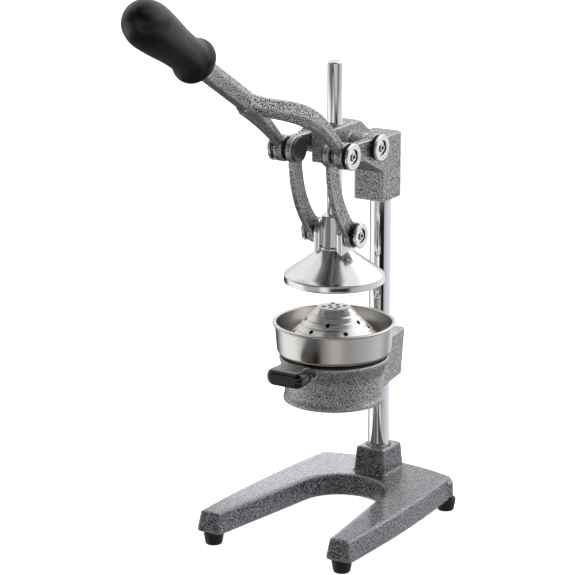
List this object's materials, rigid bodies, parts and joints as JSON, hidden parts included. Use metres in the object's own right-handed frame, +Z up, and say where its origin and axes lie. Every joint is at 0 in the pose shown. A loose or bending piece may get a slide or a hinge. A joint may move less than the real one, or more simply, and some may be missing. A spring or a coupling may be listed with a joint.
{
  "type": "citrus press juicer",
  "caption": "Counter-top citrus press: a forked hand lever and side links drive a bell down its guide rod onto a strainer cone in a bowl, over a horseshoe base.",
  "frame": {"origin": "on the table, under the middle of the press's overall box", "axes": "+Z up, +X to the user's right, -Y towards the user, who pulls the handle down"},
  "size_m": [0.18, 0.4791, 0.5993],
  "materials": {
    "hammertone": "hammertone",
    "rubber_foot": "matte",
    "gasket_rubber": "satin",
    "black_gloss": "gloss",
    "black_nylon": "matte",
    "stainless": "polished",
    "turned_aluminium": "turned",
    "zinc_steel": "satin",
    "chrome": "mirror"
  },
  "bodies": {
    "stand": {"base_casting": "hammertone", "column": "chrome", "column_bolt": "zinc_steel", "column_washer": "zinc_steel", "foot_front_left": "rubber_foot", "foot_front_right": "rubber_foot", "foot_rear_left": "rubber_foot", "foot_rear_right": "rubber_foot", "foot_screws": "zinc_steel", "funnel": "stainless", "funnel_grip": "black_gloss", "funnel_strap": "stainless", "gasket": "gasket_rubber", "guide_bush": "black_nylon", "head_bracket": "hammertone", "head_set_screws": "zinc_steel", "pivot_cap_left": "chrome", "pivot_cap_right": "chrome", "pivot_nut_left": "chrome", "pivot_nut_right": "chrome", "pivot_pin": "zinc_steel", "pivot_washer_left": "black_nylon", "pivot_washer_right": "black_nylon", "ring_bracket": "hammertone", "ring_set_screws": "zinc_steel"},
    "lever": {"lever_fork": "hammertone", "lever_grip": "black_gloss", "crank_pin_left": "chrome", "crank_pin_right": "chrome", "crank_spacer_left": "chrome", "crank_spacer_right": "chrome", "crank_inner_washer_left": "black_nylon", "crank_inner_washer_right": "black_nylon", "crank_outer_washer_left": "black_nylon", "crank_outer_washer_right": "black_nylon", "crank_nut_left": "chrome", "crank_nut_right": "chrome"},
    "left_link": {"link_left": "hammertone"},
    "right_link": {"link_right": "hammertone"},
    "bell": {"press_bell": "turned_aluminium", "guide_rod": "chrome", "bell_pin_left": "chrome", "bell_pin_right": "chrome", "bell_spacer_left": "chrome", "bell_spacer_right": "chrome", "bell_washer_left": "black_nylon", "bell_washer_right": "black_nylon", "bell_nut_left": "chrome", "bell_nut_right": "chrome"},
    "strainer": {"strainer_bowl": "stainless", "strainer_cone": "stainless"}
  },
  "joints": [
    {"name": "lever_pivot", "type": "hinge", "parent": "stand", "child": "lever", "pos_m": [0, 0.13057, 0.393], "axis": [1, 0, 0], "range_deg": [0, 48]},
    {"name": "left_link_pivot", "type": "hinge", "parent": "lever", "child": "left_link", "pos_m": [-0.021, 0.07607, 0.3945], "axis": [1, 0, 0], "range_deg": [-57.04, 0]},
    {"name": "right_link_pivot", "type": "hinge", "parent": "lever", "child": "right_link", "pos_m": [0.021, 0.07607, 0.3945], "axis": [1, 0, 0], "range_deg": [-57.04, 0]},
    {"name": "bell_slide", "type": "slide", "parent": "stand", "child": "bell", "axis": [0, 0, 1], "range_m": [-0.0476, 0]},
    {"name": "strainer_turn", "type": "hinge", "parent": "stand", "child": "strainer", "pos_m": [0, 0.11557, 0.1832], "axis": [0, 0, 1], "continuous": true}
  ],
  "couplings": [
    {"joint": "bell_slide", "follows": "lever_pivot", "m_per_rad": -0.0563},
    {"joint": "left_link_pivot", "follows": "lever_pivot", "ratio": -1.182},
    {"joint": "right_link_pivot", "follows": "lever_pivot", "ratio": -1.182}
  ]
}
